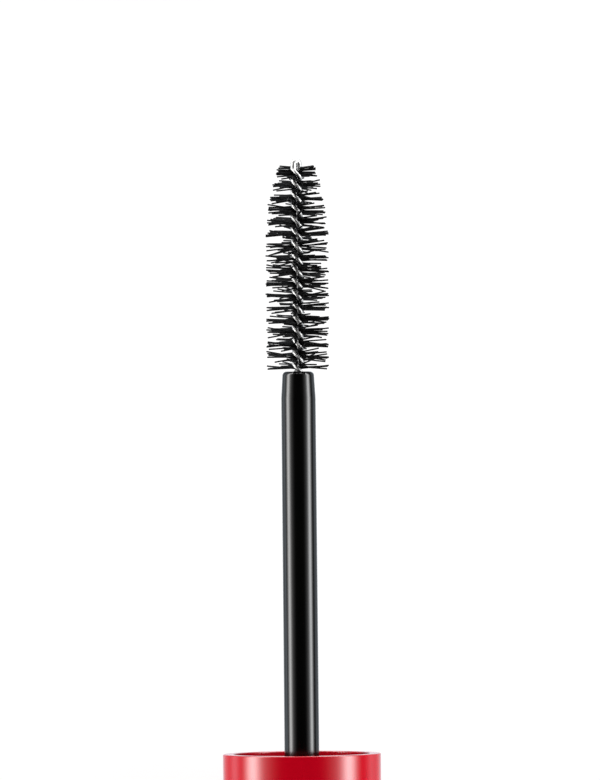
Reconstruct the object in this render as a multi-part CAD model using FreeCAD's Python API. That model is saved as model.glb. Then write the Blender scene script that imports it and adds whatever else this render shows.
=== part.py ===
"""Mascara: a screw cap that carries the stem and brush, and the tube that it closes.

Millimetres. The mascara lies open on a flat surface. +X runs along its axis from the cap's
closed end, past the brush, to the tube's base; +Z is up. The origin is on the surface, below
the middle of the axis. Every piece is first made about the X axis with x = 0 at the cap's
closed end and the tube screwed home. The tube's pieces are then unscrewed and drawn off.
"""
import FreeCAD, Part
import math
import os

V = FreeCAD.Vector
AXIS = V(1, 0, 0)

# Driving dimensions
BODY_RADIUS = 9.5            # cap and tube, outside
CAP_LENGTH = 46.0
CAP_WALL = 1.3
CAP_END_WALL = 1.6
INSERT_RECESS = 4.6          # from the cap's rim down to its threaded insert
STEM_RADIUS = 2.1            # at the cap
STEM_TIP_RADIUS = 1.88       # at the root of the brush
STEM_REACH = 45.9            # from the cap's rim to the root of the brush
BRUSH_LENGTH = 25.6
BRUSH_RADIUS = 3.8
BRUSH_TIP_RADIUS = 2.3
BRUSH_TAPER = 5.6
STRAND_RADIUS = 0.35
TWIST_LEAD = 2.944
FOLD_ANGLE = 115.0           # how the fold at the tip lies, about the axis
FOLD_LEG = 0.5               # straight length between the twist and the fold
TUBE_LENGTH = 75.8
NECK_RADIUS = 5.6
NECK_BORE = 4.6
NECK_LENGTH = 12.0
THREAD_LEAD = 3.0
THREAD_HEIGHT = 0.65
MALE_TURNS = 1.25
FEMALE_TURNS = 0.95
UNSCREW_TURNS = 1.75
DRAW_TRAVEL = 100.0          # straight pull, after unscrewing
BOTTLE_RADIUS = 8.1
BOTTLE_WALL = 0.9
SLEEVE_BASE_WALL = 1.7
LABEL_RADIUS = 7.4
LABEL_THICKNESS = 0.15
FIT = 0.05                   # between pieces that are snapped or pressed together

# Stations along the axis, with the tube screwed home
RIM = CAP_LENGTH
BRUSH_ROOT = RIM + STEM_REACH
TIP = BRUSH_ROOT + BRUSH_LENGTH
INSERT_MOUTH = RIM - INSERT_RECESS
SHOULDER = RIM + 0.2
NECK_END = SHOULDER - NECK_LENGTH
BASE = SHOULDER + TUBE_LENGTH
FLANGE_THICKNESS = 0.6
SEAT = NECK_END - 2 * FLANGE_THICKNESS - 0.2
INSERT_FLOOR = 2.8
HUB_END = SEAT - 8.8
BOTTLE_FLOOR = BASE - SLEEVE_BASE_WALL - FIT
MALE_START = NECK_END + 1.2

# How far the tube moves from screwed home to where it lies
UNSCREWED = UNSCREW_TURNS * THREAD_LEAD
FULL_LENGTH = BASE + UNSCREWED + DRAW_TRAVEL


def outline(corners):
    """A closed wire through corners in (x, radius). A corner's third value rounds it off."""
    points = [V(corner[0], 0, corner[1]) for corner in corners]
    entries = []
    middles = []
    exits = []
    for i, point in enumerate(points):
        rounding = corners[i][2] if len(corners[i]) > 2 else 0.0
        if rounding == 0.0:
            entries.append(point)
            middles.append(None)
            exits.append(point)
            continue
        back = (points[i - 1] - point).normalize()
        ahead = (points[(i + 1) % len(points)] - point).normalize()
        half_angle = back.getAngle(ahead) / 2
        reach = rounding / math.tan(half_angle)
        inset = rounding / math.sin(half_angle) - rounding
        entries.append(point + back * reach)
        middles.append(point + (back + ahead).normalize() * inset)
        exits.append(point + ahead * reach)
    edges = []
    for i, middle in enumerate(middles):
        if middle is not None:
            edges.append(Part.Arc(entries[i], middle, exits[i]).toShape())
        following = entries[(i + 1) % len(entries)]
        if (following - exits[i]).Length > 1e-6:
            edges.append(Part.LineSegment(exits[i], following).toShape())
    return Part.Wire(edges)


def turned(*corners):
    """A solid turned about the X axis from corners in (x, radius) or (x, radius, rounding)."""
    return Part.Face(outline(corners)).revolve(V(0, 0, 0), AXIS, 360)


def helical(profile, lead, turns, radius, left_handed, start, phase):
    """Sweeps a closed profile along a helix about the X axis.

    The profile is drawn in the XZ plane beside the point (radius, 0, 0), for a helix about Z.
    The sweep starts at a station on the X axis, turned from its first place by the phase.
    """
    path = Part.makeHelix(lead, lead * turns, radius, 0, left_handed)
    sweep = Part.Wire(path.Edges).makePipeShell([profile], True, True)
    sweep.rotate(V(0, 0, 0), V(0, 0, 1), phase)
    sweep.rotate(V(0, 0, 0), V(0, 1, 0), 90)
    sweep.translate(V(start, 0, 0))
    return sweep


def thread_ridge(wall, crest, turns, start, phase):
    """A right-handed ridge of trapezoidal section on a wall of one radius."""
    half_root = 0.8
    half_crest = 0.45
    root = wall + math.copysign(0.15, wall - crest)
    corners = [V(root, 0, -half_root), V(root, 0, half_root),
               V(crest, 0, half_crest), V(crest, 0, -half_crest)]
    profile = Part.makePolygon(corners + corners[:1])
    return helical(profile, THREAD_LEAD, turns, wall, False, start, phase)


# The cap and what it carries

def cap_shell():
    """The outer cap: a deep cup, open at the rim, tapering very slightly to its closed end."""
    bore = BODY_RADIUS - CAP_WALL
    return turned((0, 0), (0, BODY_RADIUS - 0.12, 1.4), (RIM, BODY_RADIUS, 0.14),
                  (RIM, bore, 0.12), (CAP_END_WALL, bore, 1.0), (CAP_END_WALL, 0))


def cap_insert():
    """The threaded liner snapped into the cap: skirt, floor and the hub that holds the stem."""
    outside = BODY_RADIUS - CAP_WALL - FIT
    inside = outside - 1.3
    bore = NECK_RADIUS + THREAD_HEIGHT + 0.2
    hub = 3.9
    hub_bore = STEM_RADIUS + FIT
    floor_back = SEAT - INSERT_FLOOR
    liner = turned((HUB_END + 2.0, outside, 0.3), (INSERT_MOUTH, outside, 0.3),
                   (INSERT_MOUTH, bore, 0.4), (SEAT, bore), (SEAT, hub_bore),
                   (HUB_END, hub_bore), (HUB_END, hub, 0.4), (floor_back, hub, 0.4),
                   (floor_back, inside, 0.4), (HUB_END + 2.0, inside, 0.3))
    start_turn = 0.75
    start = MALE_START + (start_turn - 0.5) * THREAD_LEAD
    crest = bore - THREAD_HEIGHT
    ridge = thread_ridge(bore, crest, FEMALE_TURNS, start, 360 * start_turn)
    return liner.fuse(ridge).Solids[0]


def stem():
    """The rod: a snap barb and flange in the cap, and a socket for the wire at its far end."""
    flange = 3.6
    flange_back = SEAT + FIT
    flange_face = flange_back + FLANGE_THICKNESS
    barb_start = HUB_END - 1.9
    barb_face = HUB_END - FIT
    socket = 0.79
    socket_end = BRUSH_ROOT - 7.0
    return turned((barb_start, 0), (barb_start, 1.5, 0.2), (barb_face, STEM_RADIUS + 0.35, 0.1),
                  (barb_face, STEM_RADIUS), (flange_back, STEM_RADIUS),
                  (flange_back, flange, 0.15), (flange_face, flange, 0.2),
                  (flange_face, STEM_RADIUS, 0.3), (BRUSH_ROOT - 3.2, STEM_RADIUS - 0.03, 5.0),
                  (BRUSH_ROOT, STEM_TIP_RADIUS, 0.5), (BRUSH_ROOT, socket, 0.1),
                  (socket_end, socket), (socket_end, 0))


def brush_wire():
    """One wire folded in half: two strands twisted left-handed, joined by the fold at the tip."""
    offset = STRAND_RADIUS + 0.02
    start = BRUSH_ROOT - 6.6
    fold_start = TIP - offset - STRAND_RADIUS
    end = fold_start - FOLD_LEG
    turns = (end - start) / TWIST_LEAD
    ring = Part.Wire(Part.Circle(V(offset, 0, 0), V(0, 1, 0), STRAND_RADIUS).toShape())
    first = FOLD_ANGLE + 360 * turns
    strands = [helical(ring, TWIST_LEAD, turns, offset, True, start, phase)
               for phase in (first, first + 180)]
    fold = Part.makeTorus(offset, STRAND_RADIUS, V(0, 0, 0), V(0, 1, 0), -180, 180, 180)
    fold.translate(V(fold_start, 0, 0))
    tip = []
    for side in (-offset, offset):
        tip.append(Part.makeCylinder(STRAND_RADIUS, FOLD_LEG, V(end, 0, side), AXIS))
        tip.append(Part.makeSphere(STRAND_RADIUS + 0.03, V(end, 0, side)))
    for piece in [fold] + tip:
        piece.rotate(V(0, 0, 0), AXIS, FOLD_ANGLE)
    return fold.fuse(tip).fuse(strands).Solids[0]


def bristles():
    """The fibres, as one thin disc for each half turn of the wire, on a sleeve round it."""
    bore = 2 * STRAND_RADIUS + 0.06
    hub = bore + 0.2
    pitch = TWIST_LEAD / 2
    thickness = 0.24
    taper_start = TIP - BRUSH_TAPER
    count = int((BRUSH_LENGTH - 1.6) / pitch) + 1
    corners = [(BRUSH_ROOT + 0.3, bore)]
    for i in range(count):
        start = BRUSH_ROOT + 0.3 + i * pitch
        along_taper = max(0.0, (start - taper_start) / BRUSH_TAPER)
        radius = BRUSH_RADIUS - along_taper * (BRUSH_RADIUS - BRUSH_TIP_RADIUS)
        if i > 0:
            corners.append((start, hub))
        corners += [(start, radius), (start + thickness, radius)]
        if i < count - 1:
            corners.append((start + thickness, hub))
    corners.append((corners[-1][0], bore))
    return turned(*corners)


# The tube

def bottle():
    """The inner bottle: threaded neck, collar and a long thin-walled body."""
    inside = BOTTLE_RADIUS - BOTTLE_WALL
    collar = BODY_RADIUS - 0.7
    collar_end = SHOULDER + 1.4
    body = turned((NECK_END, NECK_BORE, 0.2), (NECK_END, NECK_RADIUS, 0.3),
                  (SHOULDER, NECK_RADIUS, 0.4), (SHOULDER, collar, 0.3), (collar_end, collar),
                  (collar_end, BOTTLE_RADIUS), (BOTTLE_FLOOR, BOTTLE_RADIUS, 1.5),
                  (BOTTLE_FLOOR, 0), (BOTTLE_FLOOR - BOTTLE_WALL, 0),
                  (BOTTLE_FLOOR - BOTTLE_WALL, inside, 1.0), (SHOULDER + 3.2, inside, 1.0),
                  (SHOULDER + 1.4, NECK_BORE, 1.0))
    crest = NECK_RADIUS + THREAD_HEIGHT
    ridge = thread_ridge(NECK_RADIUS, crest, MALE_TURNS, MALE_START, 0)
    return body.fuse(ridge).Solids[0]


def sleeve():
    """The outer barrel: a deep cup that the bottle is pushed into, recessed at its base."""
    bore = BOTTLE_RADIUS + FIT
    seat = BODY_RADIUS - 0.7 + FIT
    seat_end = SHOULDER + 1.4 + FIT
    recess = BASE - LABEL_THICKNESS - 0.25
    floor = BASE - SLEEVE_BASE_WALL
    return turned((SHOULDER, seat, 0.15), (SHOULDER, BODY_RADIUS, 0.25),
                  (BASE, BODY_RADIUS, 1.2), (BASE, LABEL_RADIUS + 0.2, 0.15),
                  (recess, LABEL_RADIUS + 0.2), (recess, 0), (floor, 0), (floor, bore, 1.2),
                  (seat_end, bore), (seat_end, seat))


def base_label():
    """The round label in the recess of the tube's base."""
    start = BASE - LABEL_THICKNESS - 0.25
    return turned((start, 0), (start, LABEL_RADIUS), (start + LABEL_THICKNESS, LABEL_RADIUS),
                  (start + LABEL_THICKNESS, 0))


def wiper():
    """The soft wiper pushed into the neck: flange, ribbed barrel, cone and a lip that wipes."""
    outside = NECK_BORE - FIT
    orifice = STEM_RADIUS + 0.06
    barrel_bore = 3.95
    flange_face = NECK_END - FLANGE_THICKNESS
    cone_start = NECK_END + 5.5
    lip = NECK_END + 10.2
    return turned((flange_face, barrel_bore, 0.15), (flange_face, NECK_RADIUS - 0.1, 0.15),
                  (NECK_END - FIT, NECK_RADIUS - 0.1), (NECK_END - FIT, outside - 0.12),
                  (NECK_END + 1.0, outside - 0.12), (NECK_END + 1.3, outside, 0.1),
                  (NECK_END + 1.8, outside, 0.1), (NECK_END + 2.1, outside - 0.15),
                  (cone_start, outside - 0.15, 0.5), (lip, orifice + 0.55, 0.1), (lip, orifice),
                  (lip - 0.8, orifice), (cone_start, barrel_bore, 0.5))


def paste():
    """The mascara left in the bottle, with the channel that the brush keeps open."""
    start = SHOULDER + 8.0
    end = BOTTLE_FLOOR - BOTTLE_WALL - 0.15 - UNSCREWED
    outside = BOTTLE_RADIUS - BOTTLE_WALL - 0.1
    channel = BRUSH_RADIUS + 0.35
    return turned((start, channel, 0.4), (start + 1.0, outside, 0.4), (end, outside, 1.2),
                  (end, channel))


def drawn_off(piece):
    """A piece of the tube, unscrewed and pulled straight off the brush."""
    moved = piece.copy()
    moved.rotate(V(0, 0, 0), AXIS, 360 * UNSCREW_TURNS)
    moved.translate(V(UNSCREWED + DRAW_TRAVEL, 0, 0))
    return moved


def laid_down(piece):
    """A piece moved from the axis it was made about to where it lies on the surface."""
    moved = piece.copy()
    moved.translate(V(-FULL_LENGTH / 2, 0, BODY_RADIUS))
    return moved


APPLICATOR = (cap_shell, cap_insert, stem, brush_wire, bristles)
TUBE = (bottle, sleeve, base_label, wiper, paste)


def main():
    """Makes every piece and writes each to its own file."""
    os.makedirs("parts", exist_ok=True)
    pieces = {make.__name__: make() for make in APPLICATOR}
    pieces.update({make.__name__: drawn_off(make()) for make in TUBE})
    for name, piece in pieces.items():
        shape = laid_down(piece)
        shape.exportStep(f"parts/{name}.step")
        box = shape.BoundBox
        print(f"{name}: valid {shape.isValid()}, {len(shape.Solids)} solids, "
              f"{shape.Volume:.1f} mm3, x {box.XMin:.2f} to {box.XMax:.2f}")


main()
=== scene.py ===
"""Looks of an opened mascara: cap, stem and brush, with the unscrewed tube lying in line."""

import logging
import math
import random
from dataclasses import dataclass, field
from enum import Enum
from typing import Any, Sequence

import bmesh
import bpy
from mathutils import Matrix, Vector

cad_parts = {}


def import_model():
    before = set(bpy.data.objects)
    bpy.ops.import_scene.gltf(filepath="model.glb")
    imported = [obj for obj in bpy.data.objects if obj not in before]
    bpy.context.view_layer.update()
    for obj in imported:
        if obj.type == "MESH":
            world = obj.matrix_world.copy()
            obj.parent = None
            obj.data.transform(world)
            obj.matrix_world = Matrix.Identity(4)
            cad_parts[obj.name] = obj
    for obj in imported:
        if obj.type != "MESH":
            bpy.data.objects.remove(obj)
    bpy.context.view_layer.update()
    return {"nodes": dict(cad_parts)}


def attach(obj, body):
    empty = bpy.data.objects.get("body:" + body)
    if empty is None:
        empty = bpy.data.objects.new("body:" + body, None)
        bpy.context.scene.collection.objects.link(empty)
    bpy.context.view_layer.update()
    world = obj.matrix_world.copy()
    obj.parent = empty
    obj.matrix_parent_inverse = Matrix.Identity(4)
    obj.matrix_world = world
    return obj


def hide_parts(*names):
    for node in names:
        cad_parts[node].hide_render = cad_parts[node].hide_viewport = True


LOG = logging.getLogger("mascara")

MM = 0.001
STAGE_REACH = 40.0    # half the floor's width and the cove's radius, in metres
Colour = tuple[float, float, float]


class Body(Enum):
    """Rigid bodies of the frame that added pieces ride on."""

    APPLICATOR = "applicator"


@dataclass(frozen=True)
class Places:
    """Places in the row frame, in metres, measured on the frame's nodes.

    Args:
        axis_height: height of the axis above the surface.
        brush_root: where the stem ends and the brush begins, along X.
        tip: the brush's tip, along X.
    """

    axis_height: float
    brush_root: float
    tip: float

    @classmethod
    def measured(cls, nodes: dict[str, bpy.types.Object]) -> "Places":
        """Measures the places.

        Args:
            nodes: the frame's nodes by name.

        Returns:
            The places.
        """
        cap = cls._corners(nodes["cap_shell"])
        heights = [corner.z for corner in cap]
        return cls(axis_height=(min(heights) + max(heights)) / 2.0,
                   brush_root=max(corner.x for corner in cls._corners(nodes["stem"])),
                   tip=max(corner.x for corner in cls._corners(nodes["brush_wire"])))

    @staticmethod
    def _corners(item: bpy.types.Object) -> list[Vector]:
        return [item.matrix_world @ Vector(corner) for corner in item.bound_box]


# ---------------------------------------------------------------- shader graphs


class Value:
    """A shader socket that takes part in Python arithmetic.

    Args:
        graph: the graph that makes the Math nodes.
        socket: the output socket that is wrapped.
    """

    def __init__(self, graph: "Graph", socket: bpy.types.NodeSocket) -> None:
        self.graph = graph
        self.socket = socket

    def _with(self, operation: str, first: Any, second: Any) -> "Value":
        return self.graph.math(operation, first, second)

    def __add__(self, other: Any) -> "Value":
        return self._with("ADD", self, other)

    __radd__ = __add__

    def __mul__(self, other: Any) -> "Value":
        return self._with("MULTIPLY", self, other)

    __rmul__ = __mul__

    def __sub__(self, other: Any) -> "Value":
        return self._with("SUBTRACT", self, other)

    def clamped(self) -> "Value":
        """The value kept between 0 and 1."""
        return self.graph.math("MAXIMUM", self.graph.math("MINIMUM", self, 1.0), 0.0)


class Graph:
    """A node tree that ends in one output node, with short ways to add to it.

    Args:
        tree: the empty tree of a material or a world.
        output: type name of its output node.
    """

    def __init__(self, tree: bpy.types.NodeTree, output: str) -> None:
        self.tree = tree
        self.tree.nodes.clear()
        self.output = self.tree.nodes.new(output)

    def node(self, kind: str, settings: dict[str, Any] | None = None,
             inputs: dict[Any, Any] | None = None) -> bpy.types.Node:
        """Adds a node.

        Args:
            kind: the node's type name.
            settings: attributes set before the inputs.
            inputs: values, sockets or Values for the node's inputs, by name or index.

        Returns:
            The new node.
        """
        node = self.tree.nodes.new(kind)
        for key, value in (settings or {}).items():
            setattr(node, key, value)
        for key, value in (inputs or {}).items():
            self._feed(node.inputs[key], value)
        return node

    def _feed(self, socket: bpy.types.NodeSocket, value: Any) -> None:
        if isinstance(value, Value):
            value = value.socket
        if isinstance(value, bpy.types.NodeSocket):
            self.tree.links.new(value, socket)
        elif isinstance(value, tuple) and len(value) == 3 and socket.type == "RGBA":
            socket.default_value = (*value, 1.0)
        else:
            socket.default_value = value

    def math(self, operation: str, first: Any, second: Any) -> Value:
        """A Math node's result."""
        node = self.node("ShaderNodeMath", {"operation": operation}, {0: first, 1: second})
        return Value(self, node.outputs[0])

    def coordinates(self, scale: tuple[float, float, float]) -> bpy.types.NodeSocket:
        """Object coordinates, scaled."""
        place = self.node("ShaderNodeTexCoord").outputs["Object"]
        mapping = self.node("ShaderNodeMapping", {}, {"Vector": place, "Scale": scale})
        return mapping.outputs[0]

    def noise(self, vector: bpy.types.NodeSocket, scale: float, detail: float = 3.0) -> Value:
        """A noise texture's value at a vector."""
        node = self.node("ShaderNodeTexNoise", {},
                         {"Vector": vector, "Scale": scale, "Detail": detail})
        return Value(self, node.outputs["Fac"])

    def mix(self, factor: Any, first: Any, second: Any) -> bpy.types.NodeSocket:
        """Two colours mixed by a factor."""
        node = self.node("ShaderNodeMix", {"data_type": "RGBA"},
                         {0: factor, 6: first, 7: second})
        return node.outputs[2]

    def bump(self, height: Any, distance: float, strength: float) -> bpy.types.NodeSocket:
        """A Bump node's normal."""
        node = self.node("ShaderNodeBump", {},
                         {"Height": height, "Distance": distance, "Strength": strength})
        return node.outputs[0]

    def finish(self, shader: bpy.types.Node) -> None:
        """Ends the tree in a shader."""
        self.tree.links.new(shader.outputs[0], self.output.inputs[0])


class MaterialGraph(Graph):
    """The node tree of a new material.

    Args:
        name: the material's name.
    """

    def __init__(self, name: str) -> None:
        self.material = bpy.data.materials.new(name)
        self.material.use_nodes = True
        super().__init__(self.material.node_tree, "ShaderNodeOutputMaterial")

    def principled(self, inputs: dict[str, Any]) -> bpy.types.Material:
        """Ends the graph in a Principled BSDF and returns the material."""
        self.finish(self.node("ShaderNodeBsdfPrincipled", {}, inputs))
        return self.material


# ---------------------------------------------------------------- finishes


@dataclass(frozen=True)
class GlossyMoulding:
    """Polished or satin moulded plastic, slightly uneven in tone and gloss.

    Args:
        name: the material's name.
        light: the lighter tone.
        dark: the darker tone.
        roughness: the mean roughness.
        specular: the specular level.
        waviness: height of the moulding's flow marks, in metres.
        subsurface: how much light passes under the surface.
    """

    name: str
    light: Colour
    dark: Colour
    roughness: float
    specular: float = 0.5
    waviness: float = 0.000004
    subsurface: float = 0.0

    def make(self) -> bpy.types.Material:
        """Builds the material."""
        graph = MaterialGraph(self.name)
        along = graph.coordinates((25.0, 140.0, 140.0))
        flow = graph.noise(along, 6.0)
        fine = graph.noise(graph.coordinates((1.0, 1.0, 1.0)), 9000.0, 2.0)
        tone = (flow * 0.7 + fine * 0.3).clamped()
        rough = self.roughness * (0.86 + 0.28 * tone)
        inputs = {
            "Base Color": graph.mix(tone, self.dark, self.light),
            "Roughness": rough,
            "Specular IOR Level": self.specular,
            "Normal": graph.bump(flow, self.waviness, 0.35),
        }
        if self.subsurface > 0.0:
            inputs["Subsurface Weight"] = self.subsurface
            inputs["Subsurface Radius"] = (0.0012, 0.0008, 0.0006)
        return graph.principled(inputs)


@dataclass(frozen=True)
class DrawnWire:
    """Bright steel wire with faint drawing lines.

    Args:
        name: the material's name.
        tone: the metal's colour.
        roughness: the mean roughness.
    """

    name: str = "drawn_wire"
    tone: Colour = (0.80, 0.80, 0.79)
    roughness: float = 0.44

    def make(self) -> bpy.types.Material:
        """Builds the material."""
        graph = MaterialGraph(self.name)
        lines = graph.noise(graph.coordinates((600.0, 3000.0, 3000.0)), 3.0)
        darker = tuple(channel * 0.86 for channel in self.tone)
        return graph.principled({
            "Base Color": graph.mix(lines, darker, self.tone),
            "Roughness": self.roughness * (0.8 + 0.4 * lines),
            "Metallic": 1.0,
            "Normal": graph.bump(lines, 0.000006, 0.3),
        })


@dataclass(frozen=True)
class Nylon:
    """Black nylon fibre, a little lighter where it catches dust and paste.

    Args:
        name: the material's name.
        tone: the fibre's colour.
    """

    name: str = "black_nylon"
    tone: Colour = (0.002, 0.002, 0.0022)

    def make(self) -> bpy.types.Material:
        """Builds the material."""
        graph = MaterialGraph(self.name)
        mottle = graph.noise(graph.coordinates((1.0, 1.0, 1.0)), 2400.0)
        lighter = tuple(channel * 2.2 for channel in self.tone)
        return graph.principled({
            "Base Color": graph.mix(mottle, self.tone, lighter),
            "Roughness": 0.42 + 0.2 * mottle,
            "Specular IOR Level": 0.12,
            "Normal": graph.bump(mottle, 0.000008, 0.4),
        })


@dataclass(frozen=True)
class Paste:
    """Wet black mascara with a lumpy, shiny surface."""

    name: str = "wet_paste"

    def make(self) -> bpy.types.Material:
        """Builds the material."""
        graph = MaterialGraph(self.name)
        lumps = graph.noise(graph.coordinates((1.0, 1.0, 1.0)), 900.0)
        return graph.principled({
            "Base Color": graph.mix(lumps, (0.003, 0.003, 0.003), (0.012, 0.011, 0.011)),
            "Roughness": 0.18 + 0.2 * lumps,
            "Normal": graph.bump(lumps, 0.00015, 0.6),
        })


@dataclass(frozen=True)
class CoatedPaper:
    """A blank coated label with a faint paper grain."""

    name: str = "coated_label"

    def make(self) -> bpy.types.Material:
        """Builds the material."""
        graph = MaterialGraph(self.name)
        grain = graph.noise(graph.coordinates((1.0, 1.0, 1.0)), 4200.0)
        return graph.principled({
            "Base Color": graph.mix(grain, (0.50, 0.49, 0.47), (0.56, 0.55, 0.54)),
            "Roughness": 0.38 + 0.2 * grain,
            "Normal": graph.bump(grain, 0.000008, 0.3),
        })


@dataclass(frozen=True)
class PaleFloor:
    """A white sheet lit from within, as on a light table.

    Args:
        name: the material's name.
        strength: how brightly it glows.
    """

    name: str = "light_table"
    strength: float = 0.84

    def make(self) -> bpy.types.Material:
        """Builds the material."""
        graph = MaterialGraph(self.name)
        grain = graph.noise(graph.coordinates((1.0, 1.0, 1.0)), 14.0)
        return graph.principled({
            "Base Color": graph.mix(grain, (0.24, 0.24, 0.24), (0.27, 0.27, 0.27)),
            "Roughness": 0.8,
            "Specular IOR Level": 0.0,
            "Emission Color": (1.0, 1.0, 1.0),
            "Emission Strength": self.strength,
        })


# ---------------------------------------------------------------- meshes


def to_object(name: str, mesh: bmesh.types.BMesh, smooth: bool = True) -> bpy.types.Object:
    """Turns a bmesh into an object of the scene, at the origin.

    Args:
        name: name of the object and its mesh.
        mesh: the finished bmesh, which is freed.
        smooth: True for smooth shading.

    Returns:
        The new object.
    """
    data = bpy.data.meshes.new(name)
    mesh.to_mesh(data)
    mesh.free()
    data.polygons.foreach_set("use_smooth", [smooth] * len(data.polygons))
    item = bpy.data.objects.new(name, data)
    bpy.context.scene.collection.objects.link(item)
    return item


def paint(item: bpy.types.Object, material: bpy.types.Material) -> None:
    """Gives an object one material in place of any it has."""
    item.data.materials.clear()
    item.data.materials.append(material)


# ---------------------------------------------------------------- the brush


@dataclass
class FibreBrush:
    """The fibres held between the two strands of the wire.

    Args:
        places: where the wire lies.
        count: number of fibres, each with two free ends.
        radius: reach of a free end in the cylindrical part.
        tip_radius: reach at the tip.
        taper: length of the tapered end.
        curve: how the taper bends; 1 is a straight cone.
        thickness: radius of a fibre.
        lead: length of one full turn of the wire.
        fold_angle: how the wire's fold lies about the axis.
        twist_end: where the twist ends below the tip.
        loop_grip: how far into the twist the fibres in the wire's loop lean on the strands.
        tip_lean: how far one side's fibres lean forward at the tip.
        tilt_spread: how much the fibres lean along the axis, either way.
        swing_spread: how much a fibre's two ends turn together about the axis.
        end_spread: how much each end turns on its own.
        bend_spread: how much an end curves, as a share of its length.
        root_gap: from the end of the stem to the first fibre.
        loop_gap: from the tip to the last fibre.
        tip_zone: length of the zone at the tip where the fibres are more uneven.
        sides: sides of a fibre's cross-section.
        steps: stretches along one free end.
        seed: seed of the random numbers.
    """

    places: Places
    count: int = 300
    radius: float = 3.84 * MM
    tip_radius: float = 2.0 * MM
    taper: float = 9.0 * MM
    curve: float = 1.6
    thickness: float = 0.096 * MM
    lead: float = 2.944 * MM
    fold_angle: float = math.radians(115.0)
    twist_end: float = 1.22 * MM
    loop_grip: float = 0.4 * MM
    tip_lean: float = math.radians(6.0)
    tilt_spread: float = math.radians(5.0)
    swing_spread: float = math.radians(7.0)
    end_spread: float = math.radians(5.0)
    bend_spread: float = 0.014
    root_gap: float = 0.3 * MM
    loop_gap: float = 1.05 * MM
    tip_zone: float = 1.4 * MM
    sides: int = 5
    steps: int = 4
    seed: int = 7

    def reach(self, station: float) -> float:
        """Radius of the brush's envelope at a station along the axis."""
        below_tip = min(1.0, (self.places.tip - station) / self.taper)
        return self.radius - (1.0 - below_tip) ** self.curve * (self.radius - self.tip_radius)

    def grip(self, station: float) -> float:
        """Angle about the axis at which the strands hold a fibre at a station."""
        below_twist = max(self.loop_grip, self.places.tip - self.twist_end - station)
        return self.fold_angle + 2.0 * math.pi * below_twist / self.lead

    def strand_path(self, station: float, angle: float, tilt: float, bend: float,
                    length: float) -> list[Vector]:
        """Centre points of one free end, from the wire outwards.

        Args:
            station: where the fibre is held.
            angle: its direction about the axis.
            tilt: how far it leans along the axis, in radians.
            bend: how much it curves along the axis towards its end.
            length: its reach from the axis.

        Returns:
            The points, in the row frame.
        """
        outwards = Vector((0.0, math.cos(angle), math.sin(angle)))
        points = []
        for i in range(self.steps + 1):
            share = i / self.steps
            out = length * (0.05 + 0.95 * share)
            lean = out * math.tan(tilt) + bend * share * share * length
            point = Vector((station + lean, 0.0, self.places.axis_height)) + outwards * out
            points.append(point)
        return points

    def sweep(self, mesh: bmesh.types.BMesh, path: Sequence[Vector]) -> None:
        """Adds a thin prism along a path, with square-cut ends."""
        along = (path[-1] - path[0]).normalized()
        across = along.cross(Vector((1.0, 0.1, 0.0))).normalized()
        upward = across.cross(along)
        rings = []
        for point in path:
            ring = []
            for k in range(self.sides):
                turn = 2.0 * math.pi * k / self.sides
                offset = across * math.cos(turn) + upward * math.sin(turn)
                ring.append(mesh.verts.new(point + offset * self.thickness))
            rings.append(ring)
        for low, high in zip(rings, rings[1:]):
            for k in range(self.sides):
                after = (k + 1) % self.sides
                mesh.faces.new((low[k], low[after], high[after], high[k]))
        mesh.faces.new(list(reversed(rings[0])))
        mesh.faces.new(rings[-1])

    def make(self) -> bpy.types.Object:
        """Builds every fibre as one piece."""
        chance = random.Random(self.seed)
        mesh = bmesh.new()
        first = self.places.brush_root + self.root_gap
        last = self.places.tip - self.loop_gap
        highest = self.places.tip - 0.4 * MM
        lowest = self.places.brush_root + 0.1 * MM
        for i in range(self.count):
            station = first + (last - first) * (i + chance.uniform(0.1, 0.9)) / self.count
            angle = self.grip(station) + chance.gauss(0.0, self.swing_spread)
            for side in (0.0, math.pi):
                near_tip = max(0.0, 1.0 - (last - station) / self.tip_zone)
                shortest = 0.96 - 0.14 * near_tip
                length = self.reach(station) * chance.uniform(shortest, 1.0)
                lean = self.tip_lean * near_tip if side == 0.0 else 0.0
                tilt = chance.gauss(lean, self.tilt_spread * (1.0 - 0.4 * near_tip))
                tilt = min(tilt, math.atan2(highest - station, length))
                end_floor = lowest + chance.uniform(0.0, 0.7) * MM
                tilt = max(tilt, math.atan2(min(0.0, end_floor - station), length))
                bend = chance.gauss(0.0, self.bend_spread)
                swing = angle + side + chance.gauss(0.0, self.end_spread)
                self.sweep(mesh, self.strand_path(station, swing, tilt, bend, length))
        bmesh.ops.recalc_face_normals(mesh, faces=mesh.faces)
        return to_object("fibres", mesh, smooth=False)

    def dress(self) -> bpy.types.Object:
        """Makes the fibres stand for the frame's plain bristles."""
        item = self.make()
        paint(item, Nylon().make())
        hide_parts("bristles")
        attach(item, Body.APPLICATOR.value)
        return item


# ---------------------------------------------------------------- the other pieces


def red_moulding(name: str) -> GlossyMoulding:
    """The red of the cap and the tube's sleeve.

    Args:
        name: the material's name.

    Returns:
        The finish.
    """
    return GlossyMoulding(name, (0.51, 0.0010, 0.0110), (0.455, 0.0008, 0.0090), 0.1,
                          specular=1.0)


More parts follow.
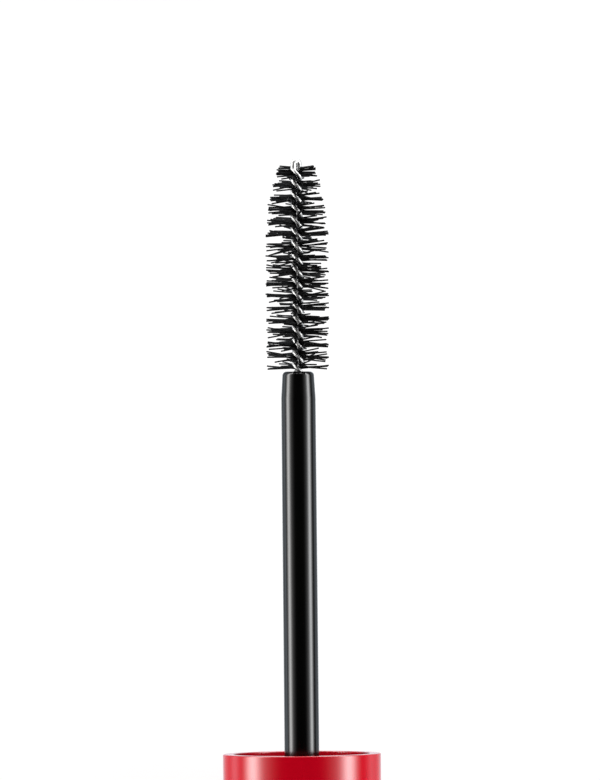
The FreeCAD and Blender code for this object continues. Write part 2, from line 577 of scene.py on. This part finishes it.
@dataclass
class Dressing:
    """Finishes for the nodes of the frame."""

    finishes: dict[str, Any] = field(default_factory=lambda: {
        "cap_shell": red_moulding("pearl_red_cap"),
        "sleeve": red_moulding("pearl_red_tube"),
        "cap_insert": GlossyMoulding("dark_red_liner", (0.30, 0.006, 0.010),
                                     (0.24, 0.004, 0.008), 0.4),
        "stem": GlossyMoulding("satin_black_rod", (0.0016, 0.0016, 0.0015),
                               (0.0012, 0.0012, 0.0011), 0.14, specular=0.82),
        "bottle": GlossyMoulding("black_bottle", (0.010, 0.010, 0.010),
                                 (0.008, 0.008, 0.008), 0.3),
        "wiper": GlossyMoulding("soft_wiper", (0.70, 0.69, 0.66), (0.62, 0.61, 0.58), 0.45,
                                subsurface=0.3),
        "brush_wire": DrawnWire(),
        "base_label": CoatedPaper(),
        "paste": Paste(),
    })

    def apply(self, nodes: dict[str, bpy.types.Object]) -> None:
        """Paints every node that has a finish.

        Args:
            nodes: the frame's nodes by name.
        """
        for name, finish in self.finishes.items():
            paint(nodes[name], finish.make())


# ---------------------------------------------------------------- the studio


@dataclass(frozen=True)
class Panel:
    """A long soft light beside the axis, fading to both sides of its middle line.

    Args:
        angle: degrees about the axis from straight up, left in the picture being positive.
        spread: degrees over which it fades.
        radiance: brightness of its middle line.
        warmth: how much stronger its red is than its blue, as a share.
    """

    angle: float
    spread: float
    radiance: float
    warmth: float = 0.0

    def light(self, graph: Graph, angle: Value) -> Value:
        """The panel's light in a direction.

        Args:
            graph: the world's graph.
            angle: the direction's angle about the axis, in radians.

        Returns:
            Its radiance there.
        """
        away = (angle - math.radians(self.angle)) * (1.0 / math.radians(self.spread))
        return self.radiance * graph.math("EXPONENT", -0.5 * (away * away), 0.0)


PANELS = (
    Panel(-73.0, 8.6, 6.6, -0.02),      # right key
    Panel(-53.0, 10.0, 0.5, -0.03),     # right shoulder
    Panel(-120.0, 8.0, 0.45, -0.2),     # right low bounce
    Panel(77.0, 8.8, 6.6, 0.02),        # left key
    Panel(58.0, 11.0, 0.55, 0.02),      # left shoulder
    Panel(115.0, 8.0, 0.8, -0.2),       # left low bounce
    Panel(-180.0, 30.0, 0.9, -0.15),    # from below, both ways round
    Panel(180.0, 30.0, 0.9, -0.15),
)


@dataclass
class Studio:
    """Camera, lights, floor and surroundings.

    Args:
        places: where the brush and its axis lie.
        behind_root: how far behind the brush's root the camera looks down.
        distance: from the camera to the axis.
        view_height: length of the axis that fills the picture's height.
        roll: turn of the camera about its own axis, in radians.
        shift_across: how far the camera stands to the side of the axis.
        end_glow: brightness of the surroundings towards both ends of the axis.
    """

    places: Places
    behind_root: float = 2.23 * MM
    distance: float = 1.19
    view_height: float = 93.7 * MM
    roll: float = math.radians(-0.56)
    shift_across: float = -0.2 * MM
    end_glow: float = 2.0

    def target(self) -> Vector:
        """The point that the camera looks at."""
        return Vector((self.places.brush_root - self.behind_root, 0.0, self.places.axis_height))

    def camera(self) -> None:
        """Adds the camera, straight above, with the brush pointing up the picture."""
        data = bpy.data.cameras.new("camera")
        data.sensor_fit = "VERTICAL"
        data.sensor_height = 24.0
        data.lens = 24.0 * self.distance / self.view_height
        data.clip_start = 0.05
        item = bpy.data.objects.new("camera", data)
        across = Vector((0.0, -1.0, 0.0))
        upward = Vector((1.0, 0.0, 0.0))
        turn = Matrix((across, upward, Vector((0.0, 0.0, 1.0)))).transposed().to_4x4()
        above = self.target() + Vector((0.0, self.shift_across, self.distance))
        item.matrix_world = Matrix.Translation(above) @ turn @ Matrix.Rotation(self.roll, 4, "Z")
        bpy.context.scene.collection.objects.link(item)
        bpy.context.scene.camera = item

    def world(self) -> None:
        """A light tent of long panels: bright beside the axis, dark overhead, dim below."""
        world = bpy.data.worlds.new("surroundings")
        bpy.context.scene.world = world
        world.use_nodes = True
        graph = Graph(world.node_tree, "ShaderNodeOutputWorld")
        direction = graph.node("ShaderNodeTexCoord").outputs["Generated"]
        parts = graph.node("ShaderNodeSeparateXYZ", {}, {0: direction}).outputs
        angle = graph.math("ARCTAN2", parts["Y"], parts["Z"])
        ends = graph.node("ShaderNodeMapRange", {"interpolation_type": "SMOOTHSTEP"},
                          {"Value": graph.math("ABSOLUTE", parts["X"], 0.0),
                           "From Min": 0.72, "From Max": 0.95, "To Max": self.end_glow})
        red, green, blue = [Value(graph, ends.outputs[0])] * 3
        for panel in PANELS:
            light = panel.light(graph, angle)
            red = red + light * (1.0 + panel.warmth / 2.0)
            green = green + light
            blue = blue + light * (1.0 - panel.warmth / 2.0)
        colour = graph.node("ShaderNodeCombineColor", {}, {0: red, 1: green, 2: blue})
        graph.finish(graph.node("ShaderNodeBackground", {}, {0: colour.outputs[0]}))

    def dome(self) -> None:
        """Adds the white cove behind everything, which only the camera sees."""
        mesh = bmesh.new()
        bmesh.ops.create_uvsphere(mesh, u_segments=48, v_segments=24, radius=STAGE_REACH)
        bmesh.ops.reverse_faces(mesh, faces=mesh.faces)
        item = to_object("cove", mesh)
        paint(item, PaleFloor("cove_white", 1.02).make())
        for kind in ("diffuse", "glossy", "transmission", "shadow", "volume_scatter"):
            setattr(item, f"visible_{kind}", False)

    def floor(self) -> None:
        """Adds the pale sheet that the mascara lies on."""
        mesh = bmesh.new()
        bmesh.ops.create_grid(mesh, x_segments=1, y_segments=1, size=STAGE_REACH)
        item = to_object("floor", mesh, smooth=False)
        paint(item, PaleFloor().make())
        item.visible_glossy = False

    def set_up(self) -> None:
        """Adds everything and sets how light becomes colour."""
        self.camera()
        self.world()
        self.floor()
        self.dome()
        view = bpy.context.scene.view_settings
        view.view_transform = "Standard"
        view.look = "None"


def main() -> None:
    """Loads the frame, dresses it, adds the fibres and sets up the studio."""
    logging.basicConfig(level=logging.INFO, format="%(name)s: %(message)s")
    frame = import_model()
    Dressing().apply(frame["nodes"])
    places = Places.measured(frame["nodes"])
    fibres = FibreBrush(places).dress()
    LOG.info("fibres: %d faces", len(fibres.data.polygons))
    Studio(places).set_up()


if __name__ == "__main__":
    main()
